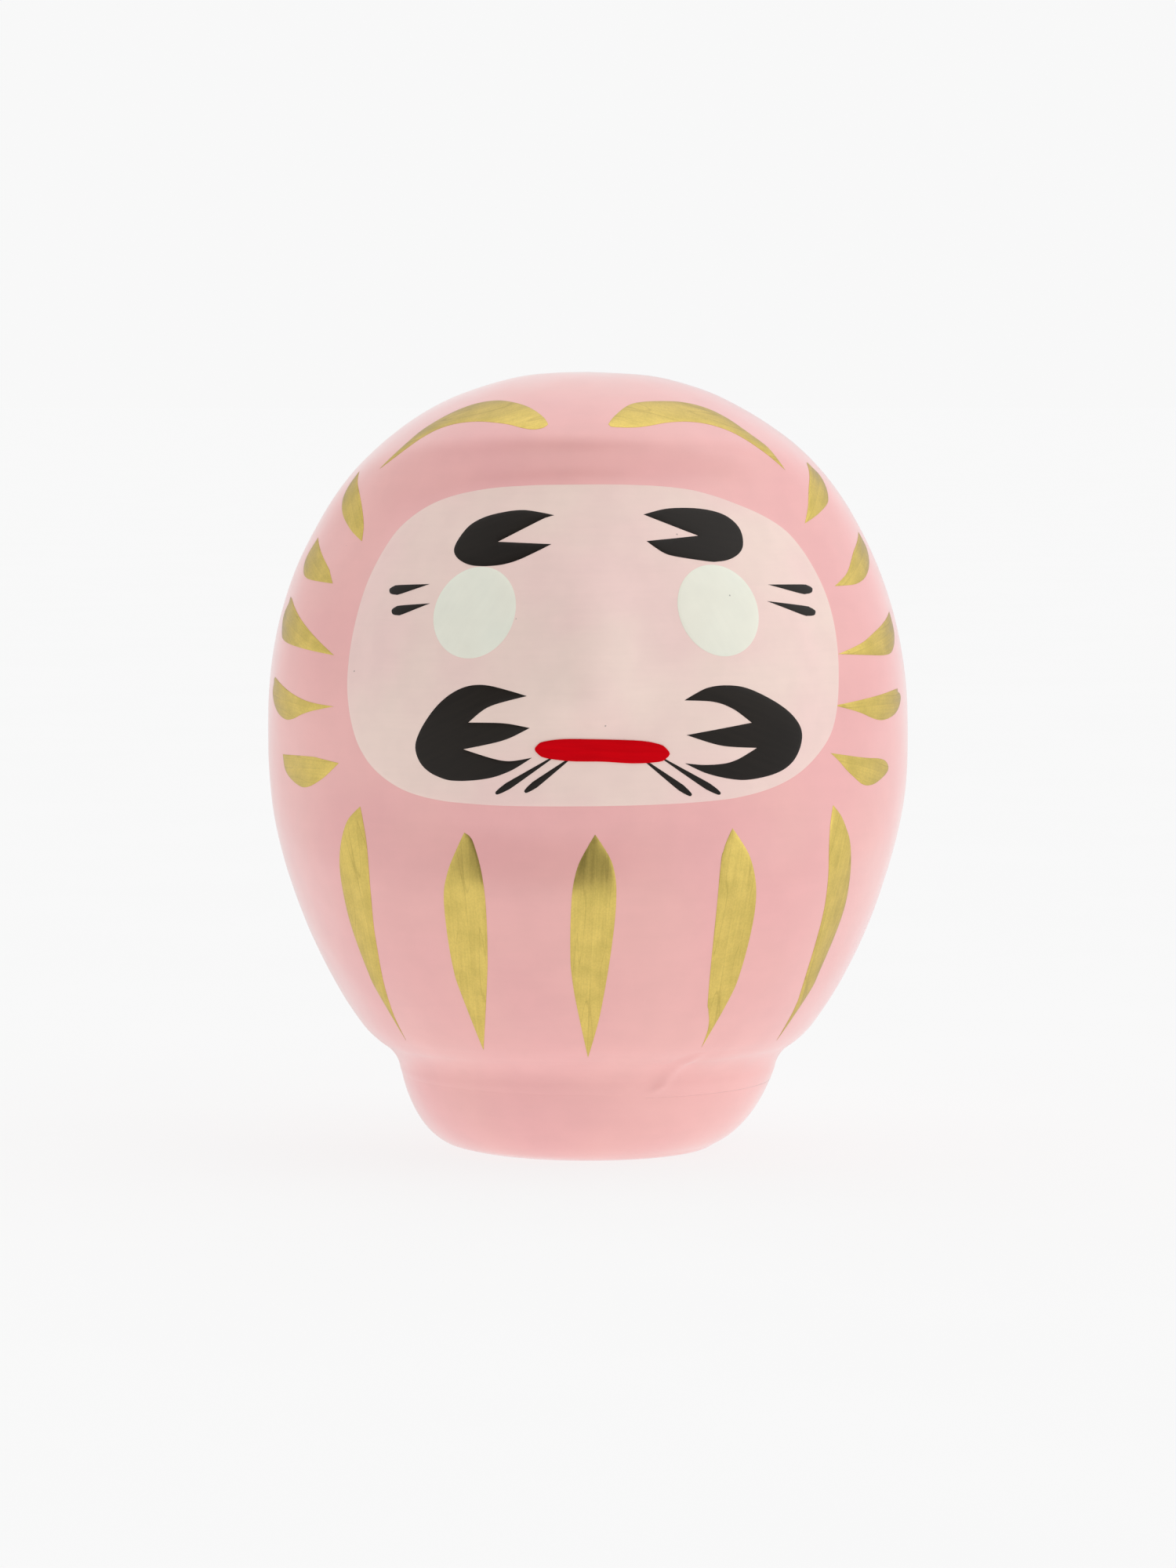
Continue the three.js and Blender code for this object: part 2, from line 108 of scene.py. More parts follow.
def face_reach(x, z):
    """How far a point lies from the middle of the face: 1 is the face's outline."""
    across = abs(x) / FACE_HALF_WIDTH
    up = abs(z - FACE_HEIGHT) / FACE_HALF_HEIGHT
    return (across ** FACE_CORNER + up ** FACE_CORNER) ** (1 / FACE_CORNER)


def window_depth(reach, z):
    """How deep the face window lies: deeper towards the top, and wider and softer at the chin."""
    rising = smooth_step((z - FACE_HEIGHT + FACE_HALF_HEIGHT) / (2 * FACE_HALF_HEIGHT))
    chin = (1 - rising) ** CHIN_FALL
    depth = WINDOW_DEPTH_LOW + (WINDOW_DEPTH_HIGH - WINDOW_DEPTH_LOW) * rising + CHIN_DEPTH * chin
    outer = WINDOW_OUTER_REACH + CHIN_OUTER_REACH * chin
    wall = WINDOW_WALL_REACH + CHIN_WALL_REACH * chin
    return depth * smooth_step((outer - reach) / wall)


def hood_rise(reach, radius, z):
    """How far the rounded hood above the window stands out."""
    above = smooth_step(0.5 + (reach - HOOD_REACH) / HOOD_TURNING)
    spread = HOOD_UNDERSIDE + (HOOD_FOREHEAD - HOOD_UNDERSIDE) * above
    crest = math.exp(-(((reach - HOOD_REACH) / spread) ** 2))
    high = smooth_step((z - HOOD_FADE_LOW) / (HOOD_FADE_HIGH - HOOD_FADE_LOW))
    return HOOD_RISE * crest * high * smooth_step(radius / CROWN_FADE_RADIUS)


def nose_rise(x, z):
    """How far the long low nose stands out of the face."""
    bridge = smooth_step((NOSE_TOP - z) / (NOSE_TOP - NOSE_TIP))
    underside = smooth_step((z - NOSE_BASE) / NOSE_LIP)
    return NOSE_RISE * bridge * underside * math.exp(-((x / NOSE_HALF_WIDTH) ** 2))


def front_relief(x, y, z):
    """How far the modelled front stands out of the plain round body."""
    if y >= 0:
        return 0.0
    radius = math.hypot(x, y)
    facing = -y / radius
    reach = face_reach(x, z)
    face = nose_rise(x, z) - window_depth(reach, z)
    hood = hood_rise(reach, radius, z)
    return face * smooth_step(facing / WINDOW_FADE) + hood * smooth_step(facing / HOOD_FADE)


def catmull(a, b, c, d, t):
    """The point at share t between b and c of a Catmull-Rom curve."""
    start = (c - a) / 2
    end = (d - b) / 2
    cubic = 2 * b - 2 * c + start + end
    square = 3 * c - 3 * b - 2 * start - end
    return cubic * t ** 3 + square * t * t + start * t + b


def outer_hull(points):
    """The bulging side of (radius, height) points, from the lowest to the highest."""
    hull = []
    for point in sorted(points, key=lambda p: (p.y, -p.x)):
        while len(hull) > 1 and (hull[-1] - hull[-2]).cross(point - hull[-2]) <= 0:
            hull.pop()
        hull.append(point)
    return hull


class Outline:
    """The body's outline as a smooth curve of radius and height, read from the shell's plain back."""

    STEPS = 24  # between two knots, for measuring the curve's length
    HALVINGS = 26  # of the length, to find where the outline has a height
    ON_PLANE = 0.02 * MM  # the back's points lie this near the plane through the axis

    def __init__(self, node):
        back = []
        for vertex in node.data.vertices:
            x, y, z = vertex.co
            if abs(x) < self.ON_PLANE and y > -self.ON_PLANE:
                back.append(Vector((y, z)))
        self.knots = outer_hull(back)
        self.lengths = [0.0]
        last = self.point(0, 0.0)
        for step in range(1, self.STEPS * (len(self.knots) - 1) + 1):
            segment, part = divmod(step, self.STEPS)
            here = self.point(segment, part / self.STEPS)
            self.lengths.append(self.lengths[-1] + (here - last).length)
            last = here
        self.length = self.lengths[-1]

    def point(self, segment, t):
        """The point at share t of the stretch that starts at a knot."""
        last = len(self.knots) - 1
        if segment >= last:
            return self.knots[last]
        before = self.knots[max(segment - 1, 0)]
        after = self.knots[min(segment + 2, last)]
        return catmull(before, self.knots[segment], self.knots[segment + 1], after, t)

    def at(self, length):
        """The outline's (radius, height) at a length from the crease."""
        length = min(max(length, 0.0), self.length)
        step = min(bisect_right(self.lengths, length) - 1, len(self.lengths) - 2)
        share = (length - self.lengths[step]) / (self.lengths[step + 1] - self.lengths[step])
        return self.point(step // self.STEPS, (step % self.STEPS + share) / self.STEPS)

    def length_at(self, height):
        """The length up the outline at which it has a height."""
        low, high = 0.0, self.length
        for _ in range(self.HALVINGS):
            middle = (low + high) / 2
            if self.at(middle).y < height:
                low = middle
            else:
                high = middle
        return (low + high) / 2


outline = Outline(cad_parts["body_shell"])

# ---- places on the surface ----

UNEVENNESS = (  # papier-mache is never quite true: (wavelength, height) of its gentle swells
    (19 * MM, 0.26 * MM),
    (8 * MM, 0.07 * MM),
    (2.6 * MM, 0.012 * MM),
)
NORMAL_STEP = 0.05 * MM  # how far apart the points are from which a normal is worked out


def unevenness(place):
    """How far the real surface stands out of the modelled one."""
    return sum(height * noise.noise(place / wavelength) for wavelength, height in UNEVENNESS)


def polar(azimuth, radius, height):
    """A point by its azimuth from the front, its distance from the axis, and its height."""
    return Vector((radius * math.sin(azimuth), -radius * math.cos(azimuth), height))


def modelled(azimuth, length):
    """The smooth modelled surface at an azimuth from the front and a length up the outline."""
    radius, height = outline.at(length)
    x = radius * math.sin(azimuth)
    y = -radius * math.cos(azimuth)
    scale = 1 + front_relief(x, y, height) / radius if radius > 0 else 1
    return Vector((x * scale, y * scale, height))


def surface(azimuth, length, lift=0.0):
    """The real, slightly uneven surface, raised by a lift along its normal."""
    here = modelled(azimuth, length)
    turn = NORMAL_STEP / max(math.hypot(here.x, here.y), NORMAL_STEP)
    along = modelled(azimuth + turn, length) - here
    if length + NORMAL_STEP < outline.length:
        up = modelled(azimuth, length + NORMAL_STEP) - here
    else:
        up = here - modelled(azimuth, length - NORMAL_STEP)
    normal = along.cross(up).normalized()
    return here + normal * (unevenness(here) + lift)


# ---- mesh helpers ----

def new_piece(name, vertices, faces, finish, replaces):
    """A smooth-shaded piece of the doll that stands for a CAD node."""
    mesh = bpy.data.meshes.new(name)
    mesh.from_pydata(vertices, [], faces)
    mesh.validate()
    shape = bmesh.new()
    shape.from_mesh(mesh)
    bmesh.ops.recalc_face_normals(shape, faces=shape.faces)
    shape.to_mesh(mesh)
    shape.free()
    mesh.polygons.foreach_set("use_smooth", [True] * len(mesh.polygons))
    mesh.materials.append(finish)
    piece = bpy.data.objects.new(name, mesh)
    bpy.context.scene.collection.objects.link(piece)
    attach(piece, BODY)
    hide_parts(replaces)
    return piece


def ring_faces(rows, columns, closed):
    """Quads between rows of points that each go round the doll."""
    faces = []
    for row in range(rows if closed else rows - 1):
        below = row * columns
        above = (row + 1) % rows * columns
        for column in range(columns):
            beside = (column + 1) % columns
            faces.append((below + column, below + beside, above + beside, above + column))
    return faces


def turned(name, section, columns, place, finish, replaces):
    """A closed section of (radius, height) points turned round Z; place() moves each point."""
    vertices = []
    for radius, height in section:
        for column in range(columns):
            azimuth = 2 * math.pi * column / columns
            vertices.append(place(azimuth, radius, height))
    faces = ring_faces(len(section), columns, True)
    return new_piece(name, vertices, faces, finish, replaces)


# ---- body shell ----

WALL = 2 * MM
FLOOR_OPENING_RADIUS = 17 * MM
CREASE_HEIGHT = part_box("body_shell")[0].z
SKIN_COLUMNS = 300
SKIN_ROWS = 190
CAVITY_ROWS = 16


def body_shell(finish):
    """One closed skin: the outside up to the crown, the inside back down, and the open floor."""
    columns = [2 * math.pi * column / SKIN_COLUMNS for column in range(SKIN_COLUMNS)]
    rows = []
    for row in range(SKIN_ROWS):
        length = outline.length * row / SKIN_ROWS
        rows.append([surface(azimuth, length) for azimuth in columns])
    crown = len(rows)
    for row in reversed(range(CAVITY_ROWS)):
        length = outline.length * (row + 0.5) / (CAVITY_ROWS + 0.5)
        inner = [surface(azimuth, length, -WALL) for azimuth in columns]
        for place in inner:
            place.z = max(place.z, CREASE_HEIGHT + WALL)
        rows.append(inner)
    rows.append([polar(azimuth, FLOOR_OPENING_RADIUS, CREASE_HEIGHT + WALL) for azimuth in columns])
    rows.append([polar(azimuth, FLOOR_OPENING_RADIUS, CREASE_HEIGHT) for azimuth in columns])

    vertices = [place for row in rows for place in row]
    outside = crown * SKIN_COLUMNS
    faces = ring_faces(crown, SKIN_COLUMNS, False)
    for a, b, c, d in ring_faces(len(rows) - crown, SKIN_COLUMNS, False):
        faces.append((a + outside, b + outside, c + outside, d + outside))
    opening = len(vertices) - SKIN_COLUMNS
    highest = outside - SKIN_COLUMNS
    top_outside = len(vertices)
    top_inside = top_outside + 1
    vertices.append(surface(0.0, outline.length))
    vertices.append(vertices[-1] - Vector((0, 0, WALL)))
    for column in range(SKIN_COLUMNS):
        beside = (column + 1) % SKIN_COLUMNS
        faces.append((opening + column, opening + beside, beside, column))
        faces.append((highest + column, highest + beside, top_outside))
        faces.append((outside + beside, outside + column, top_inside))
    return new_piece("body_skin", vertices, faces, finish, "body_shell")


# ---- foot, joint and underside ----

FOOT_RIM_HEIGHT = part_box("foot_cup")[1].z
FOOT_RIM_RADIUS = (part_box("foot_cup")[1].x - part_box("foot_cup")[0].x) / 2
FOOT_REST_RADIUS = 13.8 * MM
FOOT_CURVE = (1.5, 0.37)  # the powers of the bowl's side: its flatness below and its fullness
FOOT_TRUE_HEIGHT = 1.2 * MM  # from here up it is uneven
FOOT_LEAN = 1.2 * MM
FOOT_COLUMNS = 240
BOWL_STEPS = 44
BOWL_CROWDING = 1.8  # the power that crowds the bowl's rows towards the rest
CAVITY_STRIDE = 4  # the cavity has a row for each of this many of the bowl's
STICK_HOLE_RADIUS = 3 * MM
SEAL_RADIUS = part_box("base_seal")[1].x
SEAL_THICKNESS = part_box("base_seal")[1].z
SEAL_CLEARANCE = 0.3 * MM
SEAL_COLUMNS = 120
SEAL_RINGS = (0.25, 0.5, 0.7, 0.85, 0.95, 1.0)  # shares of its radius
SEAL_DISH = 0.12 * MM
SEAL_DISH_REACH = 1.4  # the dish ends at this many radii of the stick hole


def foot_radius(height):
    """The bowl's outer radius at a height."""
    flatness, fullness = FOOT_CURVE
    fall = 1 - min(height / FOOT_RIM_HEIGHT, 1)
    return FOOT_REST_RADIUS + (FOOT_RIM_RADIUS - FOOT_REST_RADIUS) * (1 - fall ** flatness) ** fullness


def foot_place(azimuth, radius, height):
    """The foot is as uneven as the body and bulges to one side, but stays true where it rests."""
    place = polar(azimuth, radius, height)
    standing = smooth_step(height / FOOT_TRUE_HEIGHT)
    place += Vector((place.x, place.y, 0)).normalized() * unevenness(place) * standing
    place.x -= FOOT_LEAN * standing * (1 - height / FOOT_RIM_HEIGHT) ** 2
    return place


def foot_cup(finish):
    """The bowl, from the recess in its rest up the outside, and back down the cavity."""
    bowl = [FOOT_RIM_HEIGHT * (step / BOWL_STEPS) ** BOWL_CROWDING for step in range(BOWL_STEPS + 1)]
    recess = SEAL_THICKNESS + SEAL_CLEARANCE
    recess_radius = SEAL_RADIUS + SEAL_CLEARANCE
    section = [(STICK_HOLE_RADIUS, recess), (recess_radius, recess), (recess_radius, 0.0)]
    section += [(foot_radius(height), height) for height in bowl]
    section += [
        (foot_radius(height) - WALL, height + WALL * (1 - height / FOOT_RIM_HEIGHT))
        for height in reversed(bowl[::CAVITY_STRIDE])
    ]
    section.append((STICK_HOLE_RADIUS, WALL))
    return turned("foot_bowl", section, FOOT_COLUMNS, foot_place, finish, "foot_cup")


STRIP_UPPER = 5.2 * MM  # its upper edge, along the body's outline from the crease
STRIP_LOWER = 10.4 * MM  # its lower edge, a height on the foot
ROUND_UPPER = 2.4 * MM  # where the rounding of the crease starts and ends, measured the same ways
ROUND_LOWER = 12.5 * MM
ROUND_REACH = 1.5 * MM
STRIP_THICKNESS = 0.12 * MM
STRIP_EDGE = -0.02 * MM  # its edges and its underside lie below the surface that it covers
STRIP_UNDERSIDE = -0.35 * MM
STRIP_FEATHER = 0.3  # the share of its width over which each edge thins out
STRIP_STEPS = 16
STRIP_COLUMNS = 480
FOLD_AZIMUTH = math.radians(25)
FOLD_LEAN = -0.21  # radians of azimuth from the upper edge to the lower
FOLD_WIDTH = 0.032
FOLD_RISE = 0.32 * MM
POCKET_BEFORE = 3 * FOLD_WIDTH
POCKET_WIDTH = 2 * FOLD_WIDTH
POCKET_SHARE = 0.4  # how deep the pocket is, as a share of the fold's rise
OVERLAP_RISE = 0.1 * MM
OVERLAP_END = 14 * FOLD_WIDTH
OVERLAP_FADE = 10 * FOLD_WIDTH


def strip_fold(azimuth, share):
    """The pasted strip's end: a slanting pucker, a shallow pocket before it, and double paper after."""
    away = math.remainder(azimuth - FOLD_AZIMUTH - FOLD_LEAN * (share - 0.5), 2 * math.pi)
    pucker = math.exp(-((away / FOLD_WIDTH) ** 2))
    pocket = math.exp(-(((away + POCKET_BEFORE) / POCKET_WIDTH) ** 2))
    overlap = smooth_step(away / FOLD_WIDTH) * smooth_step((OVERLAP_END - away) / OVERLAP_FADE)
    return FOLD_RISE * (pucker - POCKET_SHARE * pocket) + OVERLAP_RISE * overlap


def strip_path():
    """(radius, height) points down the joint: along the body, round the crease, and down the foot."""
    shares = [step / STRIP_STEPS for step in range(STRIP_STEPS + 1)]
    body = [outline.at(STRIP_UPPER + (ROUND_UPPER - STRIP_UPPER) * share) for share in shares]
    heights = [ROUND_LOWER + (STRIP_LOWER - ROUND_LOWER) * share for share in shares]
    foot = [Vector((foot_radius(height), height)) for height in heights]
    start, end = body[-1], foot[0]
    leaving = start + (start - body[-2]).normalized() * ROUND_REACH
    arriving = end - (foot[1] - end).normalized() * ROUND_REACH
    crease = []
    for share in shares[1:-1]:
        first = start.lerp(leaving, share)
        middle = leaving.lerp(arriving, share)
        last = arriving.lerp(end, share)
        crease.append(first.lerp(middle, share).lerp(middle.lerp(last, share), share))
    return body + crease + foot


def joint_strip(finish):
    """A strip of paper that rounds out the crease, thinned to nothing at both edges."""
    path = strip_path()
    last = len(path) - 1
    rows = []
    for i, place in enumerate(path):
        along = (path[min(i + 1, last)] - path[max(i - 1, 0)]).normalized()
        outwards = Vector((-along.y, along.x))
        share = i / last
        body = smooth_step(share / STRIP_FEATHER) * smooth_step((1 - share) / STRIP_FEATHER)
        rows.append((place, outwards, share, body))
    vertices = []
    for side in (1, 0):
        for place, outwards, share, body in rows if side else reversed(rows):
            for column in range(STRIP_COLUMNS):
                azimuth = 2 * math.pi * column / STRIP_COLUMNS
                top = (STRIP_THICKNESS + strip_fold(azimuth, share)) * body + STRIP_EDGE
                lift = top if side else STRIP_UNDERSIDE
                lifted = place + outwards * (unevenness(polar(azimuth, place.x, place.y)) + lift)
                vertices.append(polar(azimuth, lifted.x, lifted.y))
    faces = ring_faces(2 * len(rows), STRIP_COLUMNS, True)
    return new_piece("joint_band", vertices, faces, finish, "joint_strip")


def base_seal(finish):
    """A plain paper disc, dished a little where it bridges the stick hole."""
    vertices = []
    for level in (0.0, SEAL_THICKNESS):
        for share in SEAL_RINGS:
            radius = SEAL_RADIUS * share
            dish = SEAL_DISH * smooth_step(SEAL_DISH_REACH - radius / STICK_HOLE_RADIUS)
            for column in range(SEAL_COLUMNS):
                azimuth = 2 * math.pi * column / SEAL_COLUMNS
                vertices.append(polar(azimuth, radius, level + dish))
    top = len(SEAL_RINGS) * SEAL_COLUMNS
    faces = []
    for a, b, c, d in ring_faces(len(SEAL_RINGS), SEAL_COLUMNS, False):
        faces.append((a, b, c, d))
        faces.append((d + top, c + top, b + top, a + top))
    rim = top - SEAL_COLUMNS
    for column in range(SEAL_COLUMNS):
        beside = (column + 1) % SEAL_COLUMNS
        faces.append((rim + column, rim + beside, rim + top + beside, rim + top + column))
    faces.append(tuple(reversed(range(SEAL_COLUMNS))))
    faces.append(tuple(top + column for column in range(SEAL_COLUMNS)))
    return new_piece("paper_seal", vertices, faces, finish, "base_seal")


# ---- paint: films laid on the surface, with the outlines of the CAD films ----

COAT_THICKNESS = 0.07 * MM
RIM_LIFT = 0.025 * MM  # how far a coat's rim stands above what it covers
EDGE_WIDTH = 0.16 * MM  # how far a coat takes to reach its thickness
FILM_ROOT = 0.05 * MM  # the film's underside lies this deep in what it covers
WELD = 0.01 * MM  # points of the CAD model closer than this are one
SHORTEST_STEP = 0.02 * MM  # an outline's points closer than this are one
FACING = 0.02  # a CAD face belongs to a film's top if its normal points outwards by this much
CORNER_TURN = math.radians(75)  # an outline has a sharp corner where it turns by more
STRAIGHT_TURN = math.radians(1.5)  # and no point where it turns by less
OUTLINE_SPACING = 0.4 * MM
FILL_SPACING = 0.75 * MM
EDGE_ROWS = ((1, 1), (3, 2))  # rows of points inside an outline: edge widths in, and the stride
FILL_INSET = 4.5 * EDGE_WIDTH
CROWDED = 0.9  # an edge row leaves out a point nearer to the outline than this share of its inset
SIGHT_ROUNDS = 7  # of settling where a line of sight meets the surface
TRIANGLES_INSIDE = 1  # for the triangulation: keep what is inside the outline
SAME_POINT = 1e-3 * MM
SIDE_AZIMUTH = math.radians(68)


def film_azimuth(name):
    """Which way the CAD film was cut: the side drops from the sides, the rest from the front."""
    if name.startswith("gold_drop_left"):
        return -SIDE_AZIMUTH
    if name.startswith("gold_drop_right"):
        return SIDE_AZIMUTH
    return 0.0


def cad_outline(name, azimuth):
    """The outline of a CAD film, as (across, height) points in the plane it was cut from."""
    outwards = Vector((math.sin(azimuth), -math.cos(azimuth), 0))
    across = Vector((math.cos(azimuth), math.sin(azimuth), 0))
    shape = bmesh.new()
    shape.from_mesh(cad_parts[name].data)
    bmesh.ops.remove_doubles(shape, verts=shape.verts, dist=WELD)
    hidden = [face for face in shape.faces if face.normal.dot(outwards) < FACING]
    bmesh.ops.delete(shape, geom=hidden, context="FACES")
    follows = {}
    for edge in shape.edges:
        if edge.is_boundary:
            follows[edge.link_loops[0].vert] = edge.link_loops[0].link_loop_next.vert
    longest = []
    while follows:
        vert = next(iter(follows))
        loop = []
        while vert in follows:
            loop.append(Vector((vert.co.dot(across), vert.co.z)))
            vert = follows.pop(vert)
        longest = max(longest, loop, key=len)
    shape.free()
    return longest


def turn_at(loop, i):
    """How sharply a closed outline turns at a point."""
    before = loop[i] - loop[i - 1]
    after = loop[(i + 1) % len(loop)] - loop[i]
    return abs(before.angle_signed(after, 0.0))


def drawn_outline(name, azimuth):
    """The film's outline as a brush draws it: smooth curves that meet in its sharp corners."""
    loop = cad_outline(name, azimuth)
    loop = [p for i, p in enumerate(loop) if (p - loop[i - 1]).length > SHORTEST_STEP]
    loop = [p for i, p in enumerate(loop) if turn_at(loop, i) > STRAIGHT_TURN]
    count = len(loop)
    corners = [turn_at(loop, i) > CORNER_TURN for i in range(count)]
    drawn = []
    for i in range(count):
        here, there = loop[i], loop[(i + 1) % count]
        before = here if corners[i] else loop[i - 1]
        after = there if corners[(i + 1) % count] else loop[(i + 2) % count]
        steps = max(1, round((there - here).length / OUTLINE_SPACING))
        drawn += [catmull(before, here, there, after, step / steps) for step in range(steps)]
    return drawn


def inside(place, loop):
    """Whether a place is within a closed outline, by how often a level line from it crosses it."""
    within = False
    for a, b in zip(loop, loop[1:] + loop[:1]):
        if (a.y > place.y) != (b.y > place.y):
            if place.x < (b.x - a.x) * (place.y - a.y) / (b.y - a.y) + a.x:
                within = not within
    return within


def fill_points(loop, edge_of):
    """Points within an outline: two rows just inside it, and a grid over the rest."""
    points = []
    area = sum(a.cross(b) for a, b in zip(loop, loop[1:] + loop[:1]))
    side = math.copysign(1, area)
    for widths, stride in EDGE_ROWS:
        inset = widths * EDGE_WIDTH
        for i in range(0, len(loop), stride):
            along = (loop[(i + 1) % len(loop)] - loop[i - 1]).normalized()
            place = loop[i] + Vector((-along.y, along.x)) * side * inset
            if edge_of(place) > CROWDED * inset and inside(place, loop):
                points.append(place)
    low = Vector((min(p.x for p in loop), min(p.y for p in loop)))
    high = Vector((max(p.x for p in loop), max(p.y for p in loop)))
    for row in range(int((high.y - low.y) / FILL_SPACING) + 1):
        for column in range(int((high.x - low.x) / FILL_SPACING) + 1):
            place = low + Vector((column + 0.5 * (row % 2), row)) * FILL_SPACING
            if edge_of(place) > FILL_INSET and inside(place, loop):
                points.append(place)
    return points


def seen_on_surface(place, azimuth):
    """The (azimuth, length) where a point of the cutting plane meets the modelled surface."""
    length = outline.length_at(place.y)
    radius = outline.at(length).x
    turn = azimuth
    for _ in range(SIGHT_ROUNDS):
        turn = azimuth + math.asin(max(-1.0, min(1.0, place.x / radius)))
        here = modelled(turn, length)
        radius = math.hypot(here.x, here.y)
    return turn, length


def middle_and_run(loop):
    """The outline's middle and its long direction."""
    middle = sum(loop, Vector((0, 0))) / len(loop)
    spread_x = sum((p.x - middle.x) ** 2 for p in loop)
    spread_y = sum((p.y - middle.y) ** 2 for p in loop)
    both = sum((p.x - middle.x) * (p.y - middle.y) for p in loop)
    lean = 0.5 * math.atan2(2 * both, spread_x - spread_y)
    return middle, Vector((math.cos(lean), math.sin(lean)))


def rim_edges(triangles):
    """The edges that only one triangle has."""
    uses = {}
    for a, b, c in triangles:
        for edge in ((a, b), (b, c), (c, a)):
            key = tuple(sorted(edge))
            uses[key] = uses.get(key, 0) + 1
    return {key for key, count in uses.items() if count == 1}


def lay_strokes(film, flat, loop):
    """Coordinates in millimetres along and across the stroke, for its brush marks."""
    middle, along = middle_and_run(loop)
    across = Vector((-along.y, along.x))
    stroke = film.data.uv_layers.new(name="stroke")
    for corner in film.data.loops:
        offset = flat[corner.vertex_index % len(flat)] - middle
        stroke.data[corner.index].uv = (offset.dot(along) / MM, offset.dot(across) / MM)


def paint_film(name, coat, finish):
    """One coat of paint: coat 1 lies on the paper, and each later one on the coat before it."""
    azimuth = film_azimuth(name)
    loop = drawn_outline(name, azimuth)
    edge_points = KDTree(len(loop))
    for i, p in enumerate(loop):
        edge_points.insert((p.x, p.y, 0), i)
    edge_points.balance()

    def edge_of(place):
        """How far a place is from the outline."""
        return edge_points.find((place.x, place.y, 0))[2]

    flat = loop + fill_points(loop, edge_of)
    ring = list(range(len(loop)))
    flat, _, triangles = delaunay_2d_cdt(flat, [], [ring], TRIANGLES_INSIDE, SAME_POINT)[:3]
    rim = rim_edges(triangles)
    on_rim = {i for key in rim for i in key}

    base = (coat - 1) * (COAT_THICKNESS + RIM_LIFT)
    spots = [seen_on_surface(place, azimuth) for place in flat]
    vertices = []
    for i, place in enumerate(flat):
        depth = 0.0 if i in on_rim else edge_of(place)
        rise = COAT_THICKNESS * (1 - math.exp(-depth / EDGE_WIDTH))
        vertices.append(surface(*spots[i], base + RIM_LIFT + rise))
    vertices += [surface(*spot, base - FILM_ROOT) for spot in spots]
    under = len(flat)
    faces = [tuple(t) for t in triangles]
    faces += [(c + under, b + under, a + under) for a, b, c in triangles]
    faces += [(a, b, b + under, a + under) for a, b in sorted(rim)]
    film = new_piece(name + "_film", vertices, faces, finish, name)
    for edge in film.data.edges:  # the coat's top is shaded apart from its sides
        edge.use_edge_sharp = tuple(sorted(edge.vertices)) in rim
    lay_strokes(film, flat, loop)


# ---- materials ----

NOISE_LOW = 0.3  # nearly all of a noise's values lie between these
NOISE_HIGH = 0.7
LUMPS = 3.5 * MM  # the wavelength of the paper's small lumps under every paint
FLECK_SIZE = 0.16 * MM
FLECK_CORE = 0.6  # the share of its size over which a fleck is as dark as it gets
FLECK_TONE = 0.55


def plug(tree, value, socket):
    """Feeds a socket from another node's output, or sets it to a plain number or colour."""
    if isinstance(value, bpy.types.NodeSocket):
        tree.links.new(value, socket)
    elif socket.type == "RGBA":
        socket.default_value = (*value, 1)
    else:
        socket.default_value = value


def add(tree, kind, settings=None, **sockets):
    """A new node, with its settings, and its sockets by name (an underscore is a space)."""
    node = tree.nodes.new(kind)
    for key, value in (settings or {}).items():
        setattr(node, key, value)
    for key, value in sockets.items():
        plug(tree, value, node.inputs[key.replace("_", " ")])
    return node


def new_material(name, **sockets):
    """A material, its node tree, and its shader with the given sockets set."""
    material = bpy.data.materials.new(name)
    material.use_nodes = True
    tree = material.node_tree
    shader = tree.nodes["Principled BSDF"]
    for key, value in sockets.items():
        plug(tree, value, shader.inputs[key.replace("_", " ")])
    return material, tree, shader


def spread_noise(tree, place, scale, detail=2.0):
    """Noise over a coordinate; scale is the number of waves in a unit of it, each way."""
    scaled = add(tree, "ShaderNodeMapping", Vector=place, Scale=scale).outputs[0]
    return add(tree, "ShaderNodeTexNoise", Vector=scaled, Scale=1.0, Detail=detail).outputs["Fac"]


def body_noise(tree, wavelength, detail=2.0, stretch=(1, 1, 1)):
    """Noise with a wavelength in metres in the doll's own space; stretch divides it, axis by axis."""
    place = add(tree, "ShaderNodeTexCoord").outputs["Object"]
    return spread_noise(tree, place, [share / wavelength for share in stretch], detail)


def stroke_noise(tree, along, across, detail=3.0):
    """Noise stretched along a brush stroke, with its waves along and across it in millimetres."""
    place = add(tree, "ShaderNodeTexCoord").outputs["UV"]
    return spread_noise(tree, place, (1 / along, 1 / across, 1), detail)


def calculated(tree, operation, first, second):
    """The output of a maths node on two values, each a number or an output."""
    node = add(tree, "ShaderNodeMath", {"operation": operation})
    plug(tree, first, node.inputs[0])
    plug(tree, second, node.inputs[1])
    return node.outputs[0]


def eased(tree, value, start, end, low, high):
    """Runs smoothly from low to high as a value goes from start to end."""
    node = add(tree, "ShaderNodeMapRange", {"interpolation_type": "SMOOTHSTEP"}, Value=value)
    for name, number in (("From Min", start), ("From Max", end), ("To Min", low), ("To Max", high)):
        node.inputs[name].default_value = number
    return node.outputs["Result"]


def varied(tree, factor, middle, spread):
    """A number that a noise factor varies by a spread either way."""
    return eased(tree, factor, NOISE_LOW, NOISE_HIGH, middle - spread, middle + spread)


def between(tree, factor, first, second):
    """A colour between two, as a noise factor goes from low to high."""
    node = add(tree, "ShaderNodeMix", {"data_type": "RGBA"})
    plug(tree, varied(tree, factor, 0.5, 0.5), node.inputs[0])
    plug(tree, first, node.inputs[6])  # a mix of colours has its own sockets, after those of numbers
    plug(tree, second, node.inputs[7])
    return node.outputs[2]


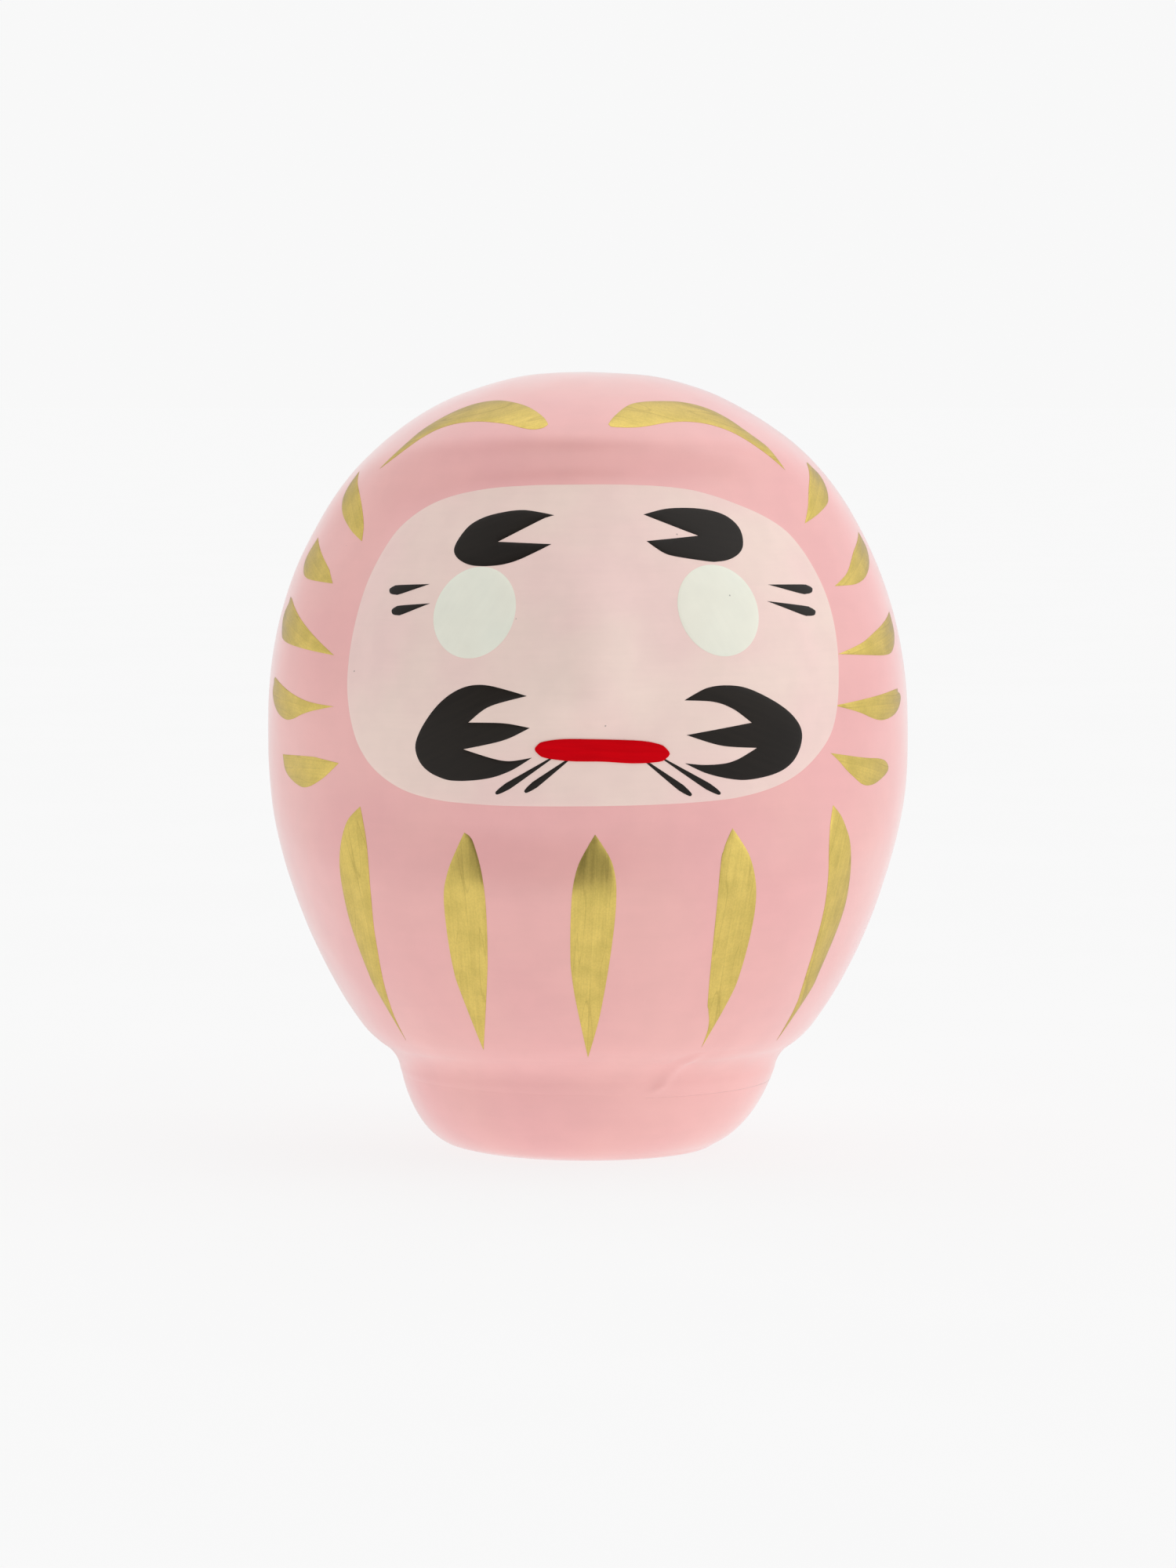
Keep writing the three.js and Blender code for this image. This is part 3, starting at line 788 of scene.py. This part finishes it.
def toned(tree, colour, *factors):
    """A colour made lighter or darker by each factor."""
    for factor in factors:
        node = add(tree, "ShaderNodeVectorMath", {"operation": "SCALE"})
        plug(tree, colour, node.inputs[0])
        plug(tree, factor, node.inputs["Scale"])
        colour = node.outputs[0]
    return colour


def bumps(tree, shader, *layers):
    """Stacks bumps, each a height output and its depth in metres, the coarsest first."""
    normal = None
    for height, depth in layers:
        node = add(tree, "ShaderNodeBump", Height=height, Distance=depth, Strength=1.0)
        if normal is not None:
            tree.links.new(normal, node.inputs["Normal"])
        normal = node.outputs["Normal"]
    tree.links.new(normal, shader.inputs["Normal"])


def tinted(colour, *shares):
    """A plain colour with a share of each of its channels."""
    return tuple(channel * share for channel, share in zip(colour, shares))


def flecks(tree, spacing):
    """Factor that dips in a few tiny round flecks of dust caught in the paint."""
    place = add(tree, "ShaderNodeTexCoord").outputs["Object"]
    cells = add(tree, "ShaderNodeTexVoronoi", Vector=place, Scale=1 / spacing)
    size = FLECK_SIZE / spacing
    return eased(tree, cells.outputs["Distance"], FLECK_CORE * size, size, FLECK_TONE, 1.0)


PINK = (0.94, 0.485, 0.47)
PINK_DULL = (0.99, 0.965, 0.985)  # shares of the pink, between which it clouds
PINK_CLEAR = (1.01, 1.03, 1.01)
LEVEL_DRAG = (0.14, 0.14, 1.0)  # the brush went round the doll, so its marks are long and level
PINK_ROUGHNESS = 0.33
PINK_SPECULAR = 0.75
PINK_SHEEN = 0.8
PINK_SHEEN_ROUGHNESS = 0.33
FOOT_PAINTED_LIGHT = 1.055  # painted light: the pink is made this much lighter on the foot, standing in for the table's light thrown up onto it and the highlight in the crease, and eases into it round the crease
FOOT_PAINTED_LIGHT_FULL = 13 * MM
FOOT_PAINTED_LIGHT_END = 24 * MM


def pink_paint(name):
    """Satin pink over papier-mache: cloudy tone, level brush drag, the paper's swells, and painted light
    on the foot and round the crease.
    """
    material, tree, shader = new_material(
        name,
        Specular_IOR_Level=PINK_SPECULAR,
        Sheen_Weight=PINK_SHEEN,
        Sheen_Roughness=PINK_SHEEN_ROUGHNESS,
    )
    dull, clear = tinted(PINK, *PINK_DULL), tinted(PINK, *PINK_CLEAR)
    cloud = between(tree, body_noise(tree, 24 * MM), dull, clear)
    drag = body_noise(tree, 1.3 * MM, 2.0, LEVEL_DRAG)
    patches = varied(tree, body_noise(tree, 5 * MM, 3.0), 1, 0.015)
    streaks = varied(tree, drag, 1, 0.006)
    place = add(tree, "ShaderNodeSeparateXYZ", Vector=add(tree, "ShaderNodeTexCoord").outputs["Object"])
    # painted light: lighter towards the foot and round the crease, for the table's light thrown up onto
    # them
    foot = eased(tree, place.outputs["Z"], FOOT_PAINTED_LIGHT_FULL, FOOT_PAINTED_LIGHT_END, FOOT_PAINTED_LIGHT, 1.0)
    colour = toned(tree, cloud, patches, streaks, foot, flecks(tree, 9 * MM))
    plug(tree, colour, shader.inputs["Base Color"])
    plug(tree, varied(tree, body_noise(tree, 7 * MM), PINK_ROUGHNESS, 0.035), shader.inputs["Roughness"])
    bumps(tree, shader, (body_noise(tree, LUMPS), 0.022 * MM), (drag, 0.004 * MM))
    return material


def poster_paint(name, *, dull, warm, roughness, specular, drag_depth, drag_tone):
    """A matt coat that clouds between two tones, with the brush's drag along its stroke."""
    material, tree, shader = new_material(name, Specular_IOR_Level=specular)
    cloud = between(tree, body_noise(tree, 17 * MM), dull, warm)
    drag = stroke_noise(tree, 9, 0.7)
    streaks = varied(tree, drag, 1, drag_tone)
    patches = varied(tree, body_noise(tree, 4 * MM, 3.0), 1, 0.015)
    colour = toned(tree, cloud, streaks, patches, flecks(tree, 8 * MM))
    plug(tree, colour, shader.inputs["Base Color"])
    plug(tree, varied(tree, drag, roughness, 0.045), shader.inputs["Roughness"])
    bumps(tree, shader, (body_noise(tree, LUMPS, 3.0), 0.03 * MM), (drag, drag_depth))
    return material


GOLD_DEEP = (0.72, 0.545, 0.150)
GOLD_BRIGHT = (0.79, 0.60, 0.165)
GOLD_THIN = (0.88, 0.89, 0.86)  # where the coat is thin, the share of its colour that is left
GOLD_EDGE = (0.62, 0.63, 0.85)  # at a grazing look the uneven flakes make it duller and less yellow
GOLD_ROUGHNESS = 0.34
RIDGE_EDGE = 0.488  # painted shade: a dark line, for the shade in a crease of the coat, runs where the folded ridge noise is between this and a half
CREASE_SHADE_TONE = 0.86


def gold_paint(name):
    """Bronze-powder paint: metallic, streaked along each stroke, with a few dark lines of painted shade
    where the coat creases, and grains.
    """
    material, tree, shader = new_material(name, Metallic=0.95, Specular_Tint=GOLD_EDGE)
    broad = stroke_noise(tree, 14, 1.1)
    fine = stroke_noise(tree, 7, 0.28, 4.0)
    ridge = stroke_noise(tree, 26, 1.9, 1.0)
    patches = body_noise(tree, 3 * MM, 3.0)
    metal = between(tree, broad, GOLD_DEEP, GOLD_BRIGHT)
    thin = between(tree, patches, GOLD_THIN, (1.0, 1.0, 1.0))
    mixed = add(tree, "ShaderNodeVectorMath", {"operation": "MULTIPLY"})
    plug(tree, metal, mixed.inputs[0])
    plug(tree, thin, mixed.inputs[1])
    combed = varied(tree, fine, 1, 0.033)
    # painted shade: dark lines along the stroke for the creases in the coat
    painted_crease_shade = eased(tree, calculated(tree, "PINGPONG", ridge, 0.5), RIDGE_EDGE, 0.5, 1.0, CREASE_SHADE_TONE)
    grains = varied(tree, body_noise(tree, 0.28 * MM, 1.0), 1, 0.038)
    plug(tree, toned(tree, mixed.outputs[0], combed, painted_crease_shade, grains), shader.inputs["Base Color"])
    plug(tree, varied(tree, broad, GOLD_ROUGHNESS, 0.04), shader.inputs["Roughness"])
    bumps(
        tree,
        shader,
        (body_noise(tree, LUMPS, 3.0), 0.03 * MM),
        (broad, 0.02 * MM),
        (fine, 0.005 * MM),
    )
    return material


def raw_material(name, dark, light, *, roughness, grain, depth):
    """Unpainted clay, glue or paper: mottled between two tones, with a grain."""
    material, tree, shader = new_material(name)
    speckle = body_noise(tree, grain, 5.0)
    plug(tree, between(tree, speckle, dark, light), shader.inputs["Base Color"])
    plug(tree, varied(tree, speckle, roughness, 0.05), shader.inputs["Roughness"])
    bumps(tree, shader, (speckle, depth))
    return material


pink = pink_paint("pink_paint")
pink_foot = pink_paint("pink_foot_paint")
pink_band = pink_paint("pink_strip_paint")
flesh = poster_paint(
    "face_paint",
    dull=(0.955, 0.70, 0.655),
    warm=(0.955, 0.755, 0.675),
    roughness=0.5,
    specular=0.35,
    drag_depth=0.002 * MM,
    drag_tone=0.006,
)
white = poster_paint(
    "white_paint",
    dull=(0.93, 0.915, 0.79),
    warm=(0.90, 0.915, 0.80),
    roughness=0.5,
    specular=0.35,
    drag_depth=0.002 * MM,
    drag_tone=0.006,
)
ink = poster_paint(
    "black_paint",
    dull=(0.011, 0.008, 0.006),
    warm=(0.015, 0.011, 0.008),
    roughness=0.36,
    specular=0.2,
    drag_depth=0.006 * MM,
    drag_tone=0.1,
)
red = poster_paint(
    "red_paint",
    dull=(0.60, 0.001, 0.004),
    warm=(0.68, 0.001, 0.006),
    roughness=0.55,
    specular=0.02,
    drag_depth=0.008 * MM,
    drag_tone=0.06,
)
gold = gold_paint("gold_paint")
clay = raw_material(
    "clay", (0.30, 0.16, 0.09), (0.45, 0.27, 0.16), roughness=0.85, grain=1.5 * MM, depth=0.12 * MM
)
glue = raw_material(
    "glue", (0.42, 0.21, 0.04), (0.62, 0.36, 0.09), roughness=0.35, grain=3 * MM, depth=0.1 * MM
)
paper = raw_material(
    "paper", (0.80, 0.72, 0.60), (0.88, 0.81, 0.70), roughness=0.8, grain=0.6 * MM, depth=0.03 * MM
)

# ---- the doll ----

body_shell(pink)
foot_cup(pink_foot)
joint_strip(pink_band)
base_seal(paper)
for inner, finish in (("clay_weight", clay), ("glue_ring", glue)):
    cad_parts[inner].data.materials.clear()
    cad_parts[inner].data.materials.append(finish)

COATS = (  # how the films' names start, which coat they are, their paint and its slot
    ("face_coat", 1, flesh, "face_paint"),
    ("gold_", 1, gold, "gold_paint"),
    ("eye_", 2, white, "white_paint"),
    ("brow_", 2, ink, "black_paint"),
    ("beard_", 2, ink, "black_paint"),
    ("temple_mark_", 2, ink, "black_paint"),
    ("whisker_", 2, ink, "black_paint"),
    ("mouth", 3, red, "red_paint"),
)
for start, coat, finish, slot in COATS:
    for name in sorted(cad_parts):
        if name.startswith(start):
            paint_film(name, coat, finish)

# ---- studio ----

CAMERA_DISTANCE = 7.83 * HEIGHT
CAMERA_HEIGHT = 1.026 * HEIGHT
CAMERA_DROP = math.radians(4.06)
CAMERA_LENS = 140
CAMERA_SENSOR = 36
CAMERA_CLIP = (0.01, 20)


def camera():
    """A long lens on the doll's axis, level with its head and pitched down a little."""
    data = bpy.data.cameras.new("camera")
    data.sensor_width = CAMERA_SENSOR
    data.lens = CAMERA_LENS
    data.clip_start, data.clip_end = CAMERA_CLIP
    eye = bpy.data.objects.new("camera", data)
    eye.location = (0, -CAMERA_DISTANCE, CAMERA_HEIGHT)
    eye.rotation_euler = (math.pi / 2 - CAMERA_DROP, 0, 0)
    bpy.context.scene.collection.objects.link(eye)
    bpy.context.scene.camera = eye


FLOOR_GLOW = 0.80  # the light table's own light; its white sheet adds the rest
FLOOR_WHITE = 0.15
FLOOR_CLOUD = 0.015  # the share by which the sheet's white varies, either way
FLOOR_RINGS = 11  # each twice as wide as the one inside it
FLOOR_INNER_RADIUS = 0.1 * HEIGHT
FLOOR_COLUMNS = 96


def light_table():
    """The pale floor: a wide sheet of opal white, lit from below."""
    vertices = []
    for ring in range(FLOOR_RINGS):
        radius = FLOOR_INNER_RADIUS * 2 ** ring
        for column in range(FLOOR_COLUMNS):
            vertices.append(polar(2 * math.pi * column / FLOOR_COLUMNS, radius, 0))
    faces = ring_faces(FLOOR_RINGS, FLOOR_COLUMNS, False)
    faces.append(tuple(reversed(range(FLOOR_COLUMNS))))
    mesh = bpy.data.meshes.new("floor")
    mesh.from_pydata(vertices, [], faces)
    mesh.flip_normals()
    material, tree, shader = new_material(
        "opal_sheet",
        Roughness=0.9,
        Specular_IOR_Level=0.0,
        Emission_Color=(1, 1, 1),
        Emission_Strength=FLOOR_GLOW,
    )
    cloud = body_noise(tree, 60 * MM)
    low = ((1 - FLOOR_CLOUD) * FLOOR_WHITE,) * 3
    high = ((1 + FLOOR_CLOUD) * FLOOR_WHITE,) * 3
    plug(tree, between(tree, cloud, low, high), shader.inputs["Base Color"])
    mesh.materials.append(material)
    floor = bpy.data.objects.new("floor", mesh)
    bpy.context.scene.collection.objects.link(floor)


TENT_WHITE = 0.94  # all round, as bright as the table
PANELS_START = 0.05  # the sines of the elevations between which the patches come in
PANELS_FULL = 0.25
FRONT_START = 0.5  # in front of the doll they reach down to the table: how far forward this comes in
FRONT_FULL = 0.75
TENT_PANELS = (  # soft patches, brighter or darker: azimuth, elevation, half-width, light
    (-25, 12, 42, -0.5),
    (25, 12, 42, -0.15),
    (0, 5, 30, -0.15),
    (0, 50, 45, -0.5),
    (0, 90, 55, 0.35),
    (45, 10, 28, 0.1),
    (60, 50, 40, 0.35),
    (-60, 50, 40, -0.2),
    (75, 15, 28, 0.5),
    (-75, 15, 28, -0.1),
    (130, 25, 45, 0.05),
    (-130, 25, 45, -0.1),
)


def tent():
    """A white light tent: lamps behind its walls, and a darker opening for the photographer."""
    world = bpy.data.worlds.new("tent")
    bpy.context.scene.world = world
    world.use_nodes = True
    tree = world.node_tree
    way = add(tree, "ShaderNodeTexCoord").outputs["Generated"]
    total = 0.0
    for azimuth, elevation, half_width, light in TENT_PANELS:
        turn, rise = math.radians(azimuth), math.radians(elevation)
        middle = polar(turn, math.cos(rise), math.sin(rise))
        toward = add(tree, "ShaderNodeVectorMath", {"operation": "DOT_PRODUCT"})
        plug(tree, way, toward.inputs[0])
        plug(tree, middle, toward.inputs[1])
        panel = eased(tree, toward.outputs["Value"], math.cos(math.radians(half_width)), 1.0, 0.0, light)
        total = calculated(tree, "ADD", panel, total)
    direction = add(tree, "ShaderNodeSeparateXYZ", Vector=way)
    raised = eased(tree, direction.outputs["Z"], PANELS_START, PANELS_FULL, 0.0, 1.0)
    in_front = eased(tree, direction.outputs["Y"], -FRONT_START, -FRONT_FULL, 0.0, 1.0)
    shown = calculated(tree, "MULTIPLY", total, calculated(tree, "MAXIMUM", raised, in_front))
    background = tree.nodes["Background"]
    background.inputs["Color"].default_value = (1, 1, 1, 1)
    plug(tree, calculated(tree, "ADD", shown, TENT_WHITE), background.inputs["Strength"])


camera()
light_table()
tent()
bpy.context.scene.view_settings.view_transform = "Standard"
